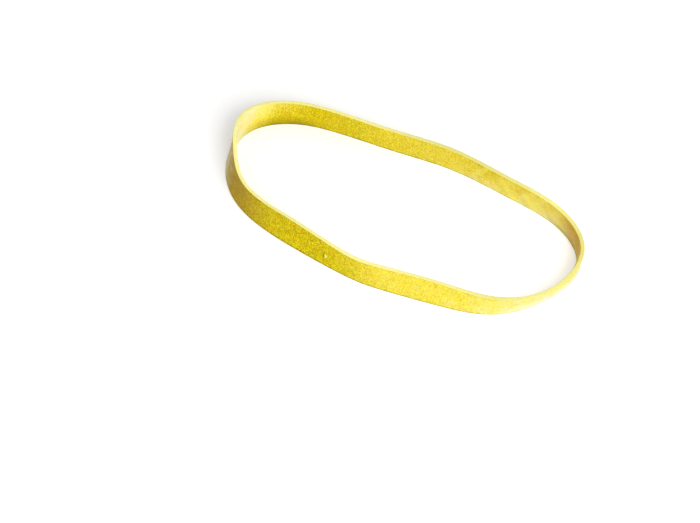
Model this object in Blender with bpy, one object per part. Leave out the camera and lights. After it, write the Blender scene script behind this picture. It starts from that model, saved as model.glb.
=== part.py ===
"""A rubber band: one closed loop of thin flat strip that stands open on its lower cut edge.

The strip is a short length cut off a moulded tube, so the loop has no seam. Its section is an
upright rectangle: the long sides are the tube's inner and outer skin, and the short sides are the
two cuts. Metres, +Z up. The loop's long way runs along X, and the origin is on the ground below
the middle of the loop's box.
"""

import bpy
import numpy as np

# Driving dimensions
LOOP_LENGTH = 0.180
STRIP_WIDTH = 0.0060
STRIP_THICKNESS = 0.00085
CORNER_RADIUS = 0.00010

# Facets of the path and of the section's corners
STEPS_PER_POINT = 12
STEPS_PER_CORNER = 2

# How the loop lies, seen from above and anticlockwise from its left end. Each point draws the
# path towards its X and Y, and leans the strip by its angle in degrees: the top edge leans out of
# the loop where it is positive and into the loop where it is negative. Most of the far side
# stands upright. The plan is scaled to LOOP_LENGTH, so its points give the shape and not the size.
LIE = (
    (-0.0360, -0.0020, -27),
    (-0.0295, -0.0105, -11),
    (-0.0160, -0.0135, -23),
    (-0.0030, -0.0165, -3),
    (0.0025, -0.0165, -8),
    (0.0150, -0.0150, -14),
    (0.0260, -0.0145, 6),
    (0.0350, -0.0080, 25),
    (0.0395, 0.0045, -2),
    (0.0300, 0.0125, -4),
    (0.0190, 0.0140, -3),
    (0.0060, 0.0170, 0),
    (-0.0055, 0.0160, 0),
    (-0.0180, 0.0160, 0),
    (-0.0290, 0.0155, 4),
    (-0.0390, 0.0090, 12),
)

RUBBER_COLOUR = (0.78, 0.60, 0.06, 1.0)
RUBBER_ROUGHNESS = 0.55


def clear_scene():
    for obj in list(bpy.data.objects):
        bpy.data.objects.remove(obj)


def path_points():
    """X, Y and lean along the loop: a closed uniform cubic B-spline drawn by the points of LIE."""
    points = np.array(LIE)
    step = np.arange(STEPS_PER_POINT)[:, None] / STEPS_PER_POINT
    before = (1 - step) ** 3 / 6
    here = (3 * step**3 - 6 * step**2 + 4) / 6
    after = (-3 * step**3 + 3 * step**2 + 3 * step + 1) / 6
    beyond = step**3 / 6
    spans = [
        before * points[i - 1]
        + here * points[i]
        + after * points[(i + 1) % len(points)]
        + beyond * points[(i + 2) % len(points)]
        for i in range(len(points))
    ]
    path = np.concatenate(spans)
    plan = path[:, :2]
    plan_length = np.linalg.norm(np.roll(plan, -1, axis=0) - plan, axis=1).sum()
    return plan * LOOP_LENGTH / plan_length, np.radians(path[:, 2])


def section_points():
    """The strip's section, clockwise: X through its thickness, Y up its width."""
    turns = np.linspace(0, np.pi / 2, STEPS_PER_CORNER + 1)
    corner_x = STRIP_THICKNESS / 2 - CORNER_RADIUS
    corner_y = STRIP_WIDTH / 2 - CORNER_RADIUS
    quarters = ((-1, 1), (1, 1), (1, -1), (-1, -1))
    return [
        (
            side * corner_x - CORNER_RADIUS * np.cos(turn + quarter * np.pi / 2),
            end * corner_y + CORNER_RADIUS * np.sin(turn + quarter * np.pi / 2),
        )
        for quarter, (side, end) in enumerate(quarters)
        for turn in turns
    ]


def make_section(collection):
    """A guide curve that the band's curve takes its section from."""
    curve = bpy.data.curves.new("strip_section", "CURVE")
    curve.dimensions = "2D"
    outline = section_points()
    spline = curve.splines.new("POLY")
    spline.points.add(len(outline) - 1)
    for point, (x, y) in zip(spline.points, outline):
        point.co = (x, y, 0, 1)
    spline.use_cyclic_u = True
    section = bpy.data.objects.new("strip_section", curve)
    section.hide_render = True
    section.display_type = "WIRE"
    collection.objects.link(section)
    return section


def rubber_material():
    material = bpy.data.materials.new("yellow_rubber")
    material.use_nodes = True
    shader = material.node_tree.nodes["Principled BSDF"]
    shader.inputs["Base Color"].default_value = RUBBER_COLOUR
    shader.inputs["Roughness"].default_value = RUBBER_ROUGHNESS
    shader.inputs["Metallic"].default_value = 0.0
    return material


def make_band(collection, section):
    """The strip swept round the path, each section resting on the ground by its lowest corner."""
    plan, lean = path_points()
    height = STRIP_WIDTH / 2 * np.cos(lean) + STRIP_THICKNESS / 2 * np.abs(np.sin(lean))
    curve = bpy.data.curves.new("rubber_band", "CURVE")
    curve.dimensions = "3D"
    curve.twist_mode = "Z_UP"
    curve.bevel_mode = "OBJECT"
    curve.bevel_object = section
    spline = curve.splines.new("POLY")
    spline.points.add(len(plan) - 1)
    for point, (x, y), z, angle in zip(spline.points, plan, height, lean):
        point.co = (x, y, z, 1)
        point.tilt = angle
    spline.use_cyclic_u = True
    spline.use_smooth = True
    curve.materials.append(rubber_material())
    band = bpy.data.objects.new("rubber_band", curve)
    collection.objects.link(band)
    return band


def stand_on_origin(band):
    """Moves the band so that its box stands on the ground, centred over the origin."""
    bpy.context.view_layer.update()
    evaluated = band.evaluated_get(bpy.context.evaluated_depsgraph_get())
    corners = np.array([vertex.co for vertex in evaluated.to_mesh().vertices])
    evaluated.to_mesh_clear()
    low = corners.min(axis=0)
    middle = (low + corners.max(axis=0)) / 2
    band.location = (-middle[0], -middle[1], -low[2])


def main():
    clear_scene()
    collection = bpy.data.collections.new("rubber_band")
    guides = bpy.data.collections.new("guides")
    for made in (collection, guides):
        bpy.context.scene.collection.children.link(made)
    band = make_band(collection, make_section(guides))
    stand_on_origin(band)


main()
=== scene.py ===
import math

import bpy
import numpy as np
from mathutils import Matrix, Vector


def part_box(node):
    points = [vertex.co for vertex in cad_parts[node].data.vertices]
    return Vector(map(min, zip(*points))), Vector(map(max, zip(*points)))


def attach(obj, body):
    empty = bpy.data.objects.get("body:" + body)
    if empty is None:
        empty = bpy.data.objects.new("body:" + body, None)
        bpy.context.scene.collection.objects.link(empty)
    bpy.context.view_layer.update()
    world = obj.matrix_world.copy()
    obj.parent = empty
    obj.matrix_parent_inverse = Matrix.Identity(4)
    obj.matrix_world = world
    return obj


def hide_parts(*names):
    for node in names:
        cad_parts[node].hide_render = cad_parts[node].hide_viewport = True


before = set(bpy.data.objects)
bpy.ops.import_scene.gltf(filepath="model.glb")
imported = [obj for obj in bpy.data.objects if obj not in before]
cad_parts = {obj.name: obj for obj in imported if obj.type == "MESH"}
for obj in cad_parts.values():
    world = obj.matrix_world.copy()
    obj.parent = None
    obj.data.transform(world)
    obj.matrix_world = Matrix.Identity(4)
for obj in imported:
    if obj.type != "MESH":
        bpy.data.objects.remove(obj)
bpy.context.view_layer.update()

# The camera: a long lens that looks down at the loop from its near side, turned a little to its
# right. The picture's middle is a point on the ground, and the lens isn't shifted.
camera_azimuth = math.radians(24.2)
camera_elevation = math.radians(54.5)
camera_aim = Vector((-0.004002, -0.013136, 0.0))
camera_distance = 0.3128

ground_reach = math.cos(camera_elevation)
towards_camera = Vector(
    (
        math.sin(camera_azimuth) * ground_reach,
        -math.cos(camera_azimuth) * ground_reach,
        math.sin(camera_elevation),
    )
)
lens = bpy.data.cameras.new("bench_camera")
lens.sensor_width = 36.0
lens.lens = 82.3
lens.clip_start = 0.01
lens.clip_end = 20.0
camera = bpy.data.objects.new("bench_camera", lens)
camera.location = camera_aim + towards_camera * camera_distance
camera.rotation_mode = "QUATERNION"
camera.rotation_quaternion = (-towards_camera).to_track_quat("-Z", "Y")
bpy.context.scene.collection.objects.link(camera)
bpy.context.scene.camera = camera

# The band: one closed loop of thin natural rubber, sliced as a ring from a long moulded tube, so
# it has no seam. Its long sides are the tube's skin and its short sides are knife cuts. It
# stands open on its lower cut, wavering and leaning a little as it was dropped.
loop_length = 0.180
strip_width = 0.0060
strip_thickness = 0.00085
corner_radius = 0.00010
sections_round = 1200
tube_radius = loop_length / (2 * math.pi)

# How the loop lies, anticlockwise from its left end: X and Y that draw the path towards them, and
# the strip's lean in degrees, with the top edge leaning out of the loop where it is positive
lie = np.array(
    [
        (-0.0360, -0.0020, -27),
        (-0.0295, -0.0105, -11),
        (-0.0160, -0.0135, -23),
        (-0.0030, -0.0165, -3),
        (0.0025, -0.0165, -8),
        (0.0150, -0.0150, -14),
        (0.0260, -0.0145, 6),
        (0.0350, -0.0080, 25),
        (0.0395, 0.0045, -2),
        (0.0300, 0.0125, -4),
        (0.0190, 0.0140, -3),
        (0.0060, 0.0170, 0),
        (-0.0055, 0.0160, 0),
        (-0.0180, 0.0160, 0),
        (-0.0290, 0.0155, 4),
        (-0.0390, 0.0090, 12),
    ]
)


def path_round(points, length, count, steps_between=60):
    """X, Y and lean at even steps round the loop: a closed uniform cubic B-spline drawn by the
    points, its plan scaled to length, and then read at equal lengths along it."""
    step = np.linspace(0, 1, steps_between, endpoint=False)[None, :, None]
    here = points[:, None, :]
    before = np.roll(here, 1, axis=0)
    after = np.roll(here, -1, axis=0)
    beyond = np.roll(here, -2, axis=0)
    blended = (
        (1 - step) ** 3 * before
        + (3 * step**3 - 6 * step**2 + 4) * here
        + (-3 * step**3 + 3 * step**2 + 3 * step + 1) * after
        + step**3 * beyond
    ) / 6
    fine = blended.reshape(-1, 3)
    closed = np.vstack([fine, fine[:1]])
    step_lengths = np.linalg.norm(np.diff(closed[:, :2], axis=0), axis=1)
    travel = np.concatenate([[0], np.cumsum(step_lengths)])
    wanted = np.arange(count) / count * travel[-1]
    even = np.stack([np.interp(wanted, travel, closed[:, i]) for i in range(3)], axis=1)
    return even[:, :2] * length / travel[-1], np.radians(even[:, 2])


def waver(turn, slowest, fastest, seed):
    """A closed random line round the loop: a sum of sines with whole numbers of cycles between
    slowest and fastest, each with its own phase and size, scaled to swing about 1 each way."""
    draw = np.random.default_rng(seed)
    cycles = np.arange(slowest, fastest + 1)
    phase = draw.uniform(0, 2 * np.pi, len(cycles))
    size = draw.uniform(0.4, 1.0, len(cycles))
    line = (size * np.sin(2 * np.pi * cycles * turn[..., None] + phase)).sum(axis=-1)
    usual_peak = 1.6 * np.sqrt((size**2).sum())
    return line / usual_peak


def strip_outline(width, thickness, corner, width_steps, cut_steps, corner_steps):
    """The strip's section as out and up, each a row: up the outer skin, in across the top cut,
    down the inner skin and out across the lower cut, with a quarter circle at each corner."""
    half_out = thickness / 2 - corner
    half_up = width / 2 - corner
    arc = np.linspace(0, np.pi / 2, corner_steps + 1)
    along_width = np.linspace(-half_up, half_up, width_steps + 1)[1:-1]
    along_cut = np.linspace(half_out, -half_out, cut_steps + 1)[1:-1]
    skin_out = np.full(len(along_width), thickness / 2)
    cut_up = np.full(len(along_cut), width / 2)
    out = np.concatenate(
        [
            skin_out,
            half_out + corner * np.cos(arc),
            along_cut,
            -half_out - corner * np.sin(arc),
        ]
    )
    up = np.concatenate(
        [
            along_width,
            half_up + corner * np.sin(arc),
            cut_up,
            half_up + corner * np.cos(arc),
        ]
    )
    return np.concatenate([out, -out]), np.concatenate([up, -up])


plan, lean = path_round(lie, loop_length, sections_round)
outline_out, outline_up = strip_outline(
    strip_width, strip_thickness, corner_radius, width_steps=24, cut_steps=6, corner_steps=4
)
outline_count = len(outline_out)
turn = (np.arange(sections_round) / sections_round)[:, None]
share_up = (outline_up / (strip_width / 2))[None, :]
share_out = (outline_out / (strip_thickness / 2))[None, :]

# The strip isn't even: the tube's wall swells and thins, its skins ripple, the cuts wander and the
# upper one slants. The knife leaves a fine chatter, and burrs at the corners. Where the loop turns,
# the middle of the strip draws into the bend.
wall_swell = 0.04
ripple_height = 0.000012
top_wander_height = 0.00005
top_chatter_height = 0.000012
low_wander_height = 0.00002
low_chatter_height = 0.000008
slant_height = 0.00004
burr_height = 0.000022
wander_fade = 6
burr_fade = 40
draw_in_share = 0.45
bend_cycles = 60

wall = 1 + wall_swell * waver(turn, slowest=2, fastest=9, seed=3)
ripple_shape = np.cos(1.3 * share_up + 2 * np.pi * turn)
skin_ripple = ripple_height * waver(turn, slowest=20, fastest=60, seed=4) * ripple_shape
top_wander = top_wander_height * waver(turn, slowest=2, fastest=11, seed=5)
top_wander = top_wander + top_chatter_height * waver(turn, slowest=50, fastest=130, seed=6)
low_wander = low_wander_height * (1 + waver(turn, slowest=2, fastest=11, seed=7))
low_wander = low_wander + low_chatter_height * waver(turn, slowest=50, fastest=130, seed=8)
top_slant = slant_height * waver(turn, slowest=1, fastest=5, seed=9) * share_out
outer_chatter = burr_height * waver(turn, slowest=140, fastest=360, seed=10)
inner_chatter = burr_height * waver(turn, slowest=140, fastest=360, seed=11)
outer_burr = outer_chatter * np.clip(share_out, 0, 1)
inner_burr = inner_chatter * np.clip(-share_out, 0, 1)

heading = np.roll(plan, -1, axis=0) - np.roll(plan, 1, axis=0)
step_length = np.linalg.norm(heading, axis=1) / 2
heading = heading / np.linalg.norm(heading, axis=1, keepdims=True)
heading_on = np.roll(heading, -1, axis=0)
turning = heading[:, 0] * heading_on[:, 1] - heading[:, 1] * heading_on[:, 0]
bend = np.fft.irfft(np.fft.rfft(turning / step_length)[:bend_cycles], sections_round)[:, None]
draw_in = draw_in_share * bend * (share_up**2 - 1) * (strip_width / 2) ** 2 / 2

upper = np.clip(share_up, 0, 1)
lower = np.clip(-share_up, 0, 1)
out = outline_out * wall + skin_ripple * np.sign(share_out) + draw_in
up = outline_up + upper**wander_fade * (top_wander + top_slant) + lower**wander_fade * low_wander
up = up + (upper**burr_fade + lower**burr_fade) * (outer_burr + inner_burr)

# A small nick on the near side's outer skin, a little below the strip's middle: a torn flap of
# rubber, with the hollow that it came out of lower down on its left
flap_turn = 0.03226 / loop_length
flap_up = -0.00035
flap_along_size = 0.00030
flap_up_size = 0.00048
flap_height = 0.00012
hollow_shift = -0.00042
hollow_drop = 0.00022
hollow_along_size = 0.00022
hollow_up_size = 0.00050
hollow_depth = 0.00012

flap_along = (turn - flap_turn) * loop_length
flap_rise = up - flap_up
hollow_along = flap_along - hollow_shift
hollow_rise = flap_rise + hollow_drop
flap = np.exp(-((flap_along / flap_along_size) ** 2) - (flap_rise / flap_up_size) ** 2)
hollow = np.exp(-((hollow_along / hollow_along_size) ** 2) - (hollow_rise / hollow_up_size) ** 2)
on_outer_skin = share_out > 0.9
out = out + on_outer_skin * (flap_height * flap - hollow_depth * hollow)

# Each section stands on the ground by its lowest corner, and leans about its own middle
outward = np.stack([heading[:, 1], -heading[:, 0], np.zeros(sections_round)], axis=1)
upright = np.array([0.0, 0.0, 1.0])
lean_cos = np.cos(lean)[:, None]
lean_sin = np.sin(lean)[:, None]
across_axis = lean_cos * upright + lean_sin * outward
out_axis = lean_cos * outward - lean_sin * upright
stand = strip_width / 2 * lean_cos + strip_thickness / 2 * np.abs(lean_sin)
middle = np.concatenate([plan, stand], axis=1)
points = (
    middle[:, None, :]
    + out[:, :, None] * out_axis[:, None, :]
    + up[:, :, None] * across_axis[:, None, :]
)
node_low, node_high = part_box("rubber_band")
points[..., 0] += (node_low[0] + node_high[0] - points[..., 0].min() - points[..., 0].max()) / 2
points[..., 1] += (node_low[1] + node_high[1] - points[..., 1].min() - points[..., 1].max()) / 2
points[..., 2] += node_low[2] - points[..., 2].min()

section = np.arange(sections_round)[:, None]
spot = np.arange(outline_count)[None, :]
next_section = (section + 1) % sections_round
next_spot = (spot + 1) % outline_count
faces = np.stack(
    [
        section * outline_count + spot,
        next_section * outline_count + spot,
        next_section * outline_count + next_spot,
        section * outline_count + next_spot,
    ],
    axis=-1,
).reshape(-1, 4)


def mesh_from_grid(name, points, faces):
    """A smooth mesh from a grid of points and the four corners of each of its faces."""
    mesh = bpy.data.meshes.new(name)
    mesh.vertices.add(points.size // 3)
    mesh.vertices.foreach_set("co", points.reshape(-1).astype(np.float32))
    mesh.loops.add(faces.size)
    mesh.loops.foreach_set("vertex_index", faces.reshape(-1).astype(np.int32))
    mesh.polygons.add(len(faces))
    mesh.polygons.foreach_set("loop_start", np.arange(0, faces.size, 4, dtype=np.int32))
    mesh.update(calc_edges=True)
    mesh.validate()
    mesh.shade_smooth()
    return mesh


def keep_on_points(mesh, name, kind, values):
    """Stores one number or vector on each point of the mesh for its material to read."""
    field = "vector" if kind == "FLOAT_VECTOR" else "value"
    stored = mesh.attributes.new(name, kind, "POINT")
    stored.data.foreach_set(field, values.reshape(-1).astype(np.float32))


band_mesh = mesh_from_grid("yellow_band", points, faces)

# The place on the round tube that each point was moulded at, in millimetres: patterns that read
# it follow the strip round the loop with no seam. Depth is the place through the wall.
millimetres = 1000
all_points = np.zeros((sections_round, outline_count))
tube_angle = 2 * np.pi * turn + all_points
tube_place = millimetres * np.stack(
    [
        tube_radius * np.cos(tube_angle),
        tube_radius * np.sin(tube_angle),
        outline_up + all_points,
    ],
    axis=-1,
)
keep_on_points(band_mesh, "tube_place", "FLOAT_VECTOR", tube_place)
keep_on_points(band_mesh, "depth", "FLOAT", millimetres * outline_out + all_points)

# How thick the chalky bloom lies, from 0 to 1, at shares of the way round the outer and inner skin.
# It is partly dust and partly painted light: a painted highlight where the lamp falls on the right
# end's outer skin and the left end's inner skin, and a painted reflection on the left end's outer
# skin.
outer_dust_and_light = (
    ((0.00, 0.56), (0.05, 0.04), (0.16, 0.02), (0.22, 0.06), (0.34, 0.25), (0.38, 0.46))
    + ((0.42, 0.64), (0.46, 0.68), (0.52, 0.50), (0.62, 0.25), (0.86, 0.22), (0.94, 0.42))
    + ((1.00, 0.56),)
)
inner_dust_and_light = (
    ((0.00, 0.50), (0.06, 0.30), (0.30, 0.15), (0.50, 0.30), (0.56, 0.30), (0.62, 0.22))
    + ((0.72, 0.15), (0.84, 0.00), (0.90, 0.00), (0.92, 0.20), (0.945, 0.52), (0.965, 0.72))
    + ((1.00, 0.50),)
)

# How far the skin is painted a darker tan, from 0 to 1: painted shade where it turns from the lamp,
# on the outer skin at the left end and the inner skin at the right end
outer_tan_shade = (
    ((0.00, 1.00), (0.03, 1.00), (0.055, 0.90), (0.08, 0.60), (0.11, 0.15), (0.14, 0.00))
    + ((0.93, 0.00), (0.97, 0.50), (1.00, 1.00))
)
inner_tan_shade = (
    ((0.00, 0.00), (0.47, 0.00), (0.50, 0.95), (0.53, 0.88), (0.55, 0.25), (0.57, 0.05))
    + ((0.80, 0.00), (0.86, 0.12), (0.90, 0.08), (0.93, 0.00), (1.00, 0.00))
)

# How much brighter yellow the skin has, from 0 to 1: partly its own tone and partly painted light
outer_yellow_and_light = (
    ((0.00, 0.00), (0.18, 0.00), (0.21, 0.20), (0.245, 0.55), (0.36, 0.60), (0.45, 0.50))
    + ((0.50, 0.45), (0.60, 0.62), (0.85, 0.58), (0.95, 0.20), (1.00, 0.00))
)
inner_yellow_and_light = (
    ((0.00, 0.50), (0.10, 0.58), (0.40, 0.55), (0.50, 0.30), (0.545, 1.00), (0.59, 0.88))
    + ((0.64, 0.58), (0.74, 0.40), (0.86, 0.00), (0.90, 0.12), (0.92, 0.68), (0.96, 0.90))
    + ((1.00, 0.50),)
)

# How much darker the cuts are, from 0 to 1: the most round the right end and behind it
cut_darkening = (
    ((0.26, 0.00), (0.32, 0.30), (0.37, 1.00), (0.51, 1.00), (0.56, 0.40), (0.61, 0.80))
    + ((0.70, 0.80), (0.80, 0.00))
)

outer_share = (1 + share_out) / 2
inner_share = (1 - share_out) / 2
upper_share = (1 + share_up) / 2
lower_share = (1 - share_up) / 2


def round_loop(stops):
    """A value for each section of the band, read between its stops at shares of the way round."""
    shares, values = np.array(stops).T
    return np.interp(turn, shares, values)


def round_both_skins(outer_stops, inner_stops):
    """A value for each point of the band: read round the outer and the inner skin, and blended
    between the two through the wall."""
    return round_loop(outer_stops) * outer_share + round_loop(inner_stops) * inner_share


# At the left end the inner skin is paler towards its top and darker towards its foot: painted light
# at the top and painted shade at the foot
left_end = inner_share * round_loop(((0.80, 0.0), (0.86, 1.0)))
top_line = round_loop(((0.86, 0.0), (0.89, 0.8), (0.92, 1.0), (0.945, 0.7), (0.965, 0.0)))
foot_line = round_loop(((0.84, 0.0), (0.88, 0.9), (0.91, 0.9), (0.935, 0.40), (0.97, 0.0)))
painted_light_top = inner_share * share_up * top_line
painted_shade_foot = inner_share * foot_line * np.clip(-1.1 * share_up - 0.1, 0, 1)

# Behind the right end the inner skin is paler towards its foot, more tan towards its top, and
# golden in patches that slant across the strip
patch_slant = 0.012
right_end = inner_share * round_loop(((0.50, 0.0), (0.54, 1.0), (0.66, 1.0), (0.72, 0.0)))
paler_foot = -right_end * share_up
upper_waver = waver(turn + patch_slant * share_up, slowest=18, fastest=70, seed=12)
lower_waver = waver(turn - patch_slant * share_up, slowest=18, fastest=70, seed=13)
golden_patches = right_end * (upper_share * upper_waver + lower_share * lower_waver)

# At the right end itself a painted shade line runs just above the inner skin's foot, and the outer
# skin is darker and less pale, from its top downwards
shade_line_up = -0.70
shade_line_width = 0.14
line_length = round_loop(((0.49, 0.0), (0.515, 0.4), (0.545, 0.4), (0.57, 0.0)))
line_shape = np.exp(-(((share_up - shade_line_up) / shade_line_width) ** 2))
shade_line = inner_share * line_length * line_shape
turned_line = round_loop(((0.43, 0.0), (0.455, 1.0), (0.50, 1.0), (0.54, 0.0)))
reach_down = round_loop(((0.47, 0.5), (0.49, 1.0)))
duller = outer_share * turned_line * np.clip(reach_down + 0.5 * share_up, 0, 1)

# What each mark adds to the dust and painted light, the painted tan shade and the brighter yellow
# and painted light, or takes from them. The dust and painted light also thins towards the top of the
# strip.
dust_and_painted_light = round_both_skins(outer_dust_and_light, inner_dust_and_light) * (1 - 0.25 * share_up)
dust_and_painted_light = dust_and_painted_light + 0.34 * painted_light_top + 0.15 * paler_foot - 0.25 * duller
tan_shade = round_both_skins(outer_tan_shade, inner_tan_shade) * (1 - 0.8 * share_up * left_end)
tan_shade = tan_shade + 0.15 * np.clip(-paler_foot, 0, 1) + 0.20 * golden_patches
yellow_and_light = round_both_skins(outer_yellow_and_light, inner_yellow_and_light) - 0.30 * golden_patches
yellow_and_light = yellow_and_light + 0.5 * painted_light_top + 0.15 * paler_foot
keep_on_points(band_mesh, "dust_and_painted_light", "FLOAT", dust_and_painted_light)
keep_on_points(band_mesh, "tan_shade_share", "FLOAT", np.clip(tan_shade, 0, 1))
keep_on_points(band_mesh, "yellow_light_share", "FLOAT", np.clip(yellow_and_light, 0, 1))
keep_on_points(band_mesh, "shade_darkening", "FLOAT", painted_shade_foot + shade_line + 0.13 * duller)
keep_on_points(band_mesh, "cut_darker", "FLOAT", round_loop(cut_darkening) + all_points)


def add_node(tree, kind, inputs, **settings):
    """Adds a node with its settings, and links or sets each input named or numbered."""
    made = tree.nodes.new(kind)
    for name, value in settings.items():
        setattr(made, name, value)
    for name, value in inputs.items():
        if isinstance(value, bpy.types.NodeSocket):
            tree.links.new(value, made.inputs[name])
        else:
            made.inputs[name].default_value = value
    return made


def worked(tree, operation, first, second=0.0, third=0.0, clamp=False):
    """One step of arithmetic on values."""
    inputs = {0: first, 1: second, 2: third}
    return add_node(tree, "ShaderNodeMath", inputs, operation=operation, use_clamp=clamp).outputs[0]


def scaled(tree, value, times, plus=0.0, clamp=False):
    """A value times one number or value, plus another."""
    return worked(tree, "MULTIPLY_ADD", value, times, plus, clamp)


def both(tree, first, second):
    """The product of two shares, which is full only where both are."""
    return worked(tree, "MULTIPLY", first, second)


def eased(tree, value, low, high):
    """0 below low and 1 above high, with a smooth step between them."""
    inputs = {"Value": value, "From Min": low, "From Max": high}
    return add_node(
        tree, "ShaderNodeMapRange", inputs, interpolation_type="SMOOTHSTEP"
    ).outputs[0]


def stained(tree, share, base, stain):
    """The base colour with a share of the stain laid over it."""
    inputs = {0: share, 6: base, 7: stain}
    return add_node(tree, "ShaderNodeMix", inputs, data_type="RGBA").outputs[2]


def cloud(tree, place, depth, size, detail, roughness=0.55):
    """Soft random patches of about the size given, in millimetres, through the rubber."""
    inputs = {
        "Vector": place,
        "W": depth,
        "Scale": 1 / size,
        "Detail": detail,
        "Roughness": roughness,
    }
    return add_node(tree, "ShaderNodeTexNoise", inputs, noise_dimensions="4D").outputs[0]


def stretched(tree, place, scale):
    """The place scaled along each axis, so that patches become streaks."""
    return add_node(tree, "ShaderNodeMapping", {"Vector": place, "Scale": scale}).outputs[0]


def new_group(name, inputs, outputs):
    """An empty node group with its named inputs and outputs, and its two end nodes."""
    group = bpy.data.node_groups.new(name, "ShaderNodeTree")
    for label, kind in inputs:
        group.interface.new_socket(label, in_out="INPUT", socket_type=kind)
    for label, kind in outputs:
        group.interface.new_socket(label, in_out="OUTPUT", socket_type=kind)
    given = group.nodes.new("NodeGroupInput").outputs
    gives = group.nodes.new("NodeGroupOutput").inputs
    return group, given, gives


def grouped(tree, group, inputs):
    """Places a node group in a material with its own values."""
    return add_node(tree, "ShaderNodeGroup", inputs, node_tree=group).outputs


# Grain: the matte mottle of cured rubber, finer and coarser patches together, with faint streaks
# along the moulded tube, which cross the strip
grain, given, gives = new_group(
    "rubber_grain",
    (
        ("Place", "NodeSocketVector"),
        ("Depth", "NodeSocketFloat"),
        ("Grain Size", "NodeSocketFloat"),
        ("Streak Share", "NodeSocketFloat"),
    ),
    (("Mottle", "NodeSocketFloat"), ("Clouds", "NodeSocketFloat"), ("Height", "NodeSocketFloat")),
)
per_size = worked(grain, "DIVIDE", 1.0, given["Grain Size"])
fine_inputs = {"Vector": given["Place"], "W": given["Depth"], "Scale": per_size, "Detail": 2.0}
fine = add_node(grain, "ShaderNodeTexNoise", fine_inputs, noise_dimensions="4D").outputs[0]
coarse = cloud(grain, given["Place"], given["Depth"], size=1.3, detail=2.0)
clouds = cloud(grain, given["Place"], given["Depth"], size=9.0, detail=3.0)
along_tube = stretched(grain, given["Place"], scale=(1.0, 1.0, 0.12))
streaks = cloud(grain, along_tube, given["Depth"], size=0.5, detail=2.0)
mottle = scaled(grain, fine, times=0.88, plus=scaled(grain, coarse, times=0.12))
off_middle = worked(grain, "SUBTRACT", streaks, 0.5)
streaked = scaled(grain, off_middle, times=given["Streak Share"], plus=mottle)
grain.links.new(eased(grain, streaked, low=0.45, high=0.56), gives["Mottle"])
grain.links.new(eased(grain, clouds, low=0.35, high=0.65), gives["Clouds"])
grain.links.new(streaked, gives["Height"])

# Bloom: the chalky dust on the rubber, patchy, and thicker where Amount is higher, with paler
# specks. The pits are drawn from another depth, so that they don't fall on the specks.
pit_deeper = 7.0
chalk, given, gives = new_group(
    "chalk_bloom",
    (("Place", "NodeSocketVector"), ("Depth", "NodeSocketFloat"), ("Amount", "NodeSocketFloat")),
    (("Cover", "NodeSocketFloat"), ("Specks", "NodeSocketFloat"), ("Pits", "NodeSocketFloat")),
)
patches = cloud(chalk, given["Place"], given["Depth"], size=2.6, detail=5.0, roughness=0.62)
lifted = scaled(chalk, patches, times=0.85, plus=given["Amount"])
chalk.links.new(eased(chalk, lifted, low=0.58, high=1.38), gives["Cover"])
speck_field = cloud(chalk, given["Place"], given["Depth"], size=0.26, detail=1.0)
chalk.links.new(eased(chalk, speck_field, low=0.56, high=0.63), gives["Specks"])
pit_depth = worked(chalk, "ADD", given["Depth"], pit_deeper)
pit_field = cloud(chalk, given["Place"], pit_depth, size=0.28, detail=1.0)
chalk.links.new(eased(chalk, pit_field, low=0.57, high=0.65), gives["Pits"])


def rubber_finish(name, glow):
    """A new rubber material, its tree and its shader. Glow is the share of the light that sinks
    in and comes out again close by."""
    material = bpy.data.materials.new(name)
    material.use_nodes = True
    shader = material.node_tree.nodes["Principled BSDF"]
    shader.inputs["IOR"].default_value = 1.5
    shader.inputs["Specular IOR Level"].default_value = 0.03
    shader.inputs["Subsurface Weight"].default_value = glow
    shader.inputs["Subsurface Radius"].default_value = (1.0, 0.45, 0.08)
    shader.inputs["Subsurface Scale"].default_value = 0.0012
    return material, material.node_tree, shader


def laid_on(tree, shader, colour, roughness, height, strength, relief):
    """Gives the shader its colour, its roughness and its bumps, which are relief metres high."""
    bump_inputs = {"Strength": strength, "Distance": relief, "Height": height}
    bump = add_node(tree, "ShaderNodeBump", bump_inputs)
    tree.links.new(colour, shader.inputs["Base Color"])
    tree.links.new(roughness, shader.inputs["Roughness"])
    tree.links.new(bump.outputs[0], shader.inputs["Normal"])


def kept(tree, name, output="Fac"):
    """Reads an attribute that the band's points carry."""
    return add_node(tree, "ShaderNodeAttribute", {}, attribute_name=name).outputs[output]


def near_spot(tree, place, turn, up, squeeze, inner, outer):
    """1 within inner of a spot on the tube and 0 past outer, in millimetres, with the distance
    squeezed up the strip. Turn is the spot's share of the way round, and up is in metres."""
    angle = 2 * math.pi * turn
    radius = millimetres * tube_radius
    spot = (radius * math.cos(angle), radius * math.sin(angle), millimetres * up * squeeze)
    squeezed = stretched(tree, place, scale=(1.0, 1.0, squeeze))
    ends = {0: squeezed, 1: spot}
    away = add_node(tree, "ShaderNodeVectorMath", ends, operation="DISTANCE").outputs["Value"]
    return worked(tree, "SUBTRACT", 1.0, eased(tree, away, low=inner, high=outer))


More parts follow.
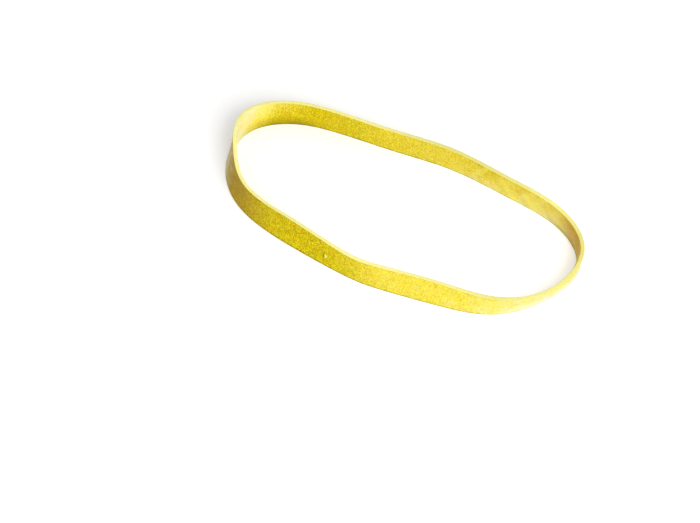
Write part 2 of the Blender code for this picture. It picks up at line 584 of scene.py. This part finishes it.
# The moulded skin: golden yellow and matte, with patches of dust, paler specks and darker pits.
# Its tan is painted shade where it turns from the lamp, and its brighter yellow and pale dust are
# partly painted light.
skin, tree, shader = rubber_finish("moulded_skin", glow=0.7)
gold = (0.58, 0.445, 0.003, 1.0)
deep_gold = (0.51, 0.385, 0.002, 1.0)
fresh_yellow = (0.84, 0.70, 0.007, 1.0)
lit_bright_yellow = (0.98, 0.84, 0.18, 1.0)
outer_shade_tan = (0.43, 0.245, 0.034, 1.0)
inner_shade_tan = (0.60, 0.315, 0.052, 1.0)
chalk_and_light_yellow = (0.84, 0.79, 0.55, 1.0)
arris_shade_olive = (0.24, 0.18, 0.006, 1.0)
pit_brown = (0.31, 0.215, 0.001, 1.0)
speck_yellow = (0.95, 0.85, 0.025, 1.0)
shade_olive = (0.30, 0.24, 0.008, 1.0)
torn_yellow = (1.0, 0.90, 0.26, 1.0)
place = kept(tree, "tube_place", "Vector")
depth = kept(tree, "depth")
tan_shade_share = kept(tree, "tan_shade_share")
yellow_light_share = kept(tree, "yellow_light_share")
grain_inputs = {"Place": place, "Depth": depth, "Grain Size": 0.18, "Streak Share": 0.15}
grained = grouped(tree, grain, grain_inputs)
chalked = grouped(tree, chalk, {"Place": place, "Depth": depth, "Amount": kept(tree, "dust_and_painted_light")})
bare = worked(tree, "SUBTRACT", 1.0, chalked["Cover"])
outside = worked(tree, "GREATER_THAN", depth, 0.2)
ground = stained(tree, grained["Clouds"], gold, deep_gold)
# Painted shade: a darker tan where the skin turns from the lamp
ground = stained(tree, tan_shade_share, ground, stained(tree, outside, inner_shade_tan, outer_shade_tan))
# The brighter yellow is partly the skin's tone and partly painted light
lively = stained(tree, yellow_light_share, fresh_yellow, lit_bright_yellow)
still_part = scaled(tree, yellow_light_share, times=0.75)
live_part = worked(tree, "SUBTRACT", 1.0, still_part)
lively_share = scaled(tree, grained["Mottle"], times=live_part, plus=still_part)
unshaded = scaled(tree, tan_shade_share, times=-0.75, plus=1.0)
colour = stained(tree, both(tree, lively_share, unshaded), ground, lively)
# The pale cover on the skin is partly dust and partly painted light
colour = stained(tree, chalked["Cover"], colour, chalk_and_light_yellow)
speck_strength = scaled(tree, both(tree, unshaded, bare), times=0.75)
colour = stained(tree, both(tree, chalked["Specks"], speck_strength), colour, speck_yellow)
less_bright = scaled(tree, yellow_light_share, times=-1.3, plus=1.0, clamp=True)
pit_share = both(tree, chalked["Pits"], both(tree, less_bright, bare))
pit_strength = scaled(tree, outside, times=0.20, plus=0.40)
colour = stained(tree, both(tree, pit_share, pit_strength), colour, pit_brown)
# Painted shade at the inner skin's foot at both ends, and the right end's darker outer skin
colour = stained(tree, kept(tree, "shade_darkening"), colour, shade_olive)

# The skin's arrises are painted darker, as shade at its corners: the lower ones the most, the inner
# skin's upper one the least, and less where the skin is brighter
up_place = add_node(tree, "ShaderNodeSeparateXYZ", {0: place}).outputs[2]
down_place = scaled(tree, up_place, times=-1.0)
top_strength = scaled(tree, outside, times=0.15, plus=0.20)
top_arris_shade = both(tree, eased(tree, up_place, low=2.66, high=2.90), top_strength)
low_arris_shade = scaled(tree, eased(tree, down_place, low=2.48, high=2.80), times=0.85)
arris_shade = worked(tree, "MAXIMUM", top_arris_shade, low_arris_shade)
broken = scaled(tree, grained["Mottle"], times=-0.35, plus=1.0)
less_where_bright = scaled(tree, yellow_light_share, times=-0.4, plus=1.0)
arris_shade = both(tree, arris_shade, both(tree, broken, bare))
colour = stained(tree, both(tree, arris_shade, less_where_bright), colour, arris_shade_olive)

# The nick shows pale fresh rubber on its flap and a dark edge in its hollow, which is painted shade
hollow_turn = flap_turn + hollow_shift / loop_length
hollow_up = flap_up - hollow_drop
hollow_near = near_spot(tree, place, hollow_turn, hollow_up, squeeze=0.5, inner=0.12, outer=0.34)
flap_near = near_spot(tree, place, flap_turn, flap_up, squeeze=0.65, inner=0.18, outer=0.40)
hollow_shade = both(tree, hollow_near, scaled(tree, outside, times=0.9))
colour = stained(tree, hollow_shade, colour, pit_brown)
ragged = scaled(tree, grained["Mottle"], times=0.25, plus=0.75)
flap_share = both(tree, flap_near, both(tree, outside, ragged))
colour = stained(tree, flap_share, colour, torn_yellow)

grain_roughness = scaled(tree, grained["Mottle"], times=0.12, plus=0.46)
roughness = scaled(tree, chalked["Cover"], times=0.18, plus=grain_roughness)
laid_on(tree, shader, colour, roughness, grained["Height"], strength=0.7, relief=0.00025)
band_mesh.materials.append(skin)

# The knife cuts: paler and drier than the skin, with the blade's drag lines across the wall and
# darker rims, which are painted shade at the corners
cut, tree, shader = rubber_finish("knife_cut", glow=0.3)
cut_yellow = (0.98, 0.91, 0.28, 1.0)
cut_shade = (0.93, 0.82, 0.16, 1.0)
cut_chalk = (0.92, 0.90, 0.60, 1.0)
rim_shade_olive = (0.50, 0.46, 0.10, 1.0)
dull_yellow = (0.67, 0.63, 0.19, 1.0)
place = kept(tree, "tube_place", "Vector")
depth = kept(tree, "depth")
grain_inputs = {"Place": place, "Depth": depth, "Grain Size": 0.25, "Streak Share": 0.4}
grained = grouped(tree, grain, grain_inputs)
chalked = grouped(tree, chalk, {"Place": place, "Depth": depth, "Amount": 0.50})
drag = cloud(tree, place, 0.0, size=0.22, detail=2.0)
colour = stained(tree, eased(tree, drag, low=0.40, high=0.75), cut_yellow, cut_shade)
colour = stained(tree, scaled(tree, grained["Mottle"], times=0.35), colour, cut_yellow)
colour = stained(tree, scaled(tree, chalked["Cover"], times=0.6), colour, cut_chalk)
colour = stained(tree, scaled(tree, chalked["Pits"], times=0.35), colour, cut_shade)
colour = stained(tree, scaled(tree, kept(tree, "cut_darker"), times=0.8), colour, dull_yellow)
inward = scaled(tree, depth, times=-1.0)
outer_rim = scaled(tree, eased(tree, depth, low=0.30, high=0.41), times=0.35)
inner_rim = scaled(tree, eased(tree, inward, low=0.30, high=0.40), times=0.10)
colour = stained(tree, worked(tree, "MAXIMUM", inner_rim, outer_rim), colour, rim_shade_olive)

roughness = scaled(tree, grained["Mottle"], times=0.15, plus=0.58)
cut_height = worked(tree, "ADD", drag, grained["Height"])
laid_on(tree, shader, colour, roughness, cut_height, strength=0.6, relief=0.00012)
band_mesh.materials.append(cut)

# The cuts' finish starts about half way up each rounded corner
cut_start = strip_width / 2 - 0.45 * corner_radius
face_up = (outline_up + np.roll(outline_up, -1)) / 2
face_finish = np.tile(np.abs(face_up) > cut_start, sections_round)
band_mesh.polygons.foreach_set("material_index", face_finish.astype(np.int32))
band = bpy.data.objects.new("yellow_band", band_mesh)
bpy.context.scene.collection.objects.link(band)
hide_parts("rubber_band")
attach(band, "root")

# The floor: a wide pale studio surface. What the camera sees of it is lifted to white, and the
# band's own soft shadow stays.
floor_half = 2.0
floor_drop = 0.00001
floor_mesh = bpy.data.meshes.new("studio_floor")
floor_mesh.from_pydata(
    [
        (-floor_half, -floor_half, -floor_drop),
        (floor_half, -floor_half, -floor_drop),
        (floor_half, floor_half, -floor_drop),
        (-floor_half, floor_half, -floor_drop),
    ],
    [],
    [(0, 1, 2, 3)],
)


def seen_directly(tree):
    """1 for what the camera sees straight or in gloss or glass, and 0 for light that bounces."""
    path = tree.nodes.new("ShaderNodeLightPath").outputs
    gloss = worked(tree, "MAXIMUM", path["Is Glossy Ray"], path["Is Transmission Ray"])
    return worked(tree, "MAXIMUM", path["Is Camera Ray"], gloss)


# The lamp's light fades with distance, so the lift grows away from the band to keep the floor
# white. To the right, where the lamp is, the lift is higher: painted light that pales the band's
# shadow there.
floor_material = bpy.data.materials.new("studio_floor")
floor_material.use_nodes = True
tree = floor_material.node_tree
shader = tree.nodes["Principled BSDF"]
shader.inputs["Base Color"].default_value = (0.86, 0.86, 0.86, 1.0)
shader.inputs["Roughness"].default_value = 0.9
shader.inputs["Specular IOR Level"].default_value = 0.0
shader.inputs["Emission Color"].default_value = (1.0, 1.0, 1.0, 1.0)
from_middle = add_node(tree, "ShaderNodeTexCoord", {}).outputs["Object"]
reach = add_node(tree, "ShaderNodeVectorMath", {0: from_middle}, operation="LENGTH").outputs["Value"]
rightwards = add_node(tree, "ShaderNodeSeparateXYZ", {0: from_middle}).outputs[0]
right_painted_light = eased(tree, rightwards, low=-0.02, high=0.035)
washed_out = scaled(tree, right_painted_light, times=0.18, plus=0.25)
lift = scaled(tree, eased(tree, reach, low=0.05, high=0.32), times=0.38, plus=washed_out)
tree.links.new(both(tree, seen_directly(tree), lift), shader.inputs["Emission Strength"])
floor_mesh.materials.append(floor_material)
floor = bpy.data.objects.new("studio_floor", floor_mesh)
bpy.context.scene.collection.objects.link(floor)

# The light: an even white studio all round, and one large soft lamp close by, above and in front
# of the band and to the camera's right. Its watts are those that light the band at lamp_level.
studio_level = 0.58
lamp_level = 0.81
lamp_right = 0.105
lamp_nearer = 0.190
lamp_up = 0.200
right = Vector((math.cos(camera_azimuth), math.sin(camera_azimuth), 0.0))
nearer = Vector((math.sin(camera_azimuth), -math.cos(camera_azimuth), 0.0))
lamp_reach = right * lamp_right + nearer * lamp_nearer + Vector((0.0, 0.0, lamp_up))
lamp_light = bpy.data.lights.new("soft_lamp", "AREA")
lamp_light.shape = "DISK"
lamp_light.size = 0.20
lamp_light.energy = lamp_level * math.pi**2 * lamp_reach.length_squared
lamp = bpy.data.objects.new("soft_lamp", lamp_light)
lamp.location = lamp_reach
lamp.rotation_mode = "QUATERNION"
lamp.rotation_quaternion = (-lamp_reach).to_track_quat("-Z", "Y")
lamp.visible_camera = False
bpy.context.scene.collection.objects.link(lamp)

world = bpy.data.worlds.new("white_studio")
world.use_nodes = True
tree = world.node_tree
background = tree.nodes["Background"]
background.inputs["Color"].default_value = (1.0, 1.0, 1.0, 1.0)
strength = scaled(tree, seen_directly(tree), times=1.0 - studio_level, plus=studio_level)
tree.links.new(strength, background.inputs["Strength"])
bpy.context.scene.world = world
bpy.context.scene.view_settings.view_transform = "Standard"

bpy.context.view_layer.update()
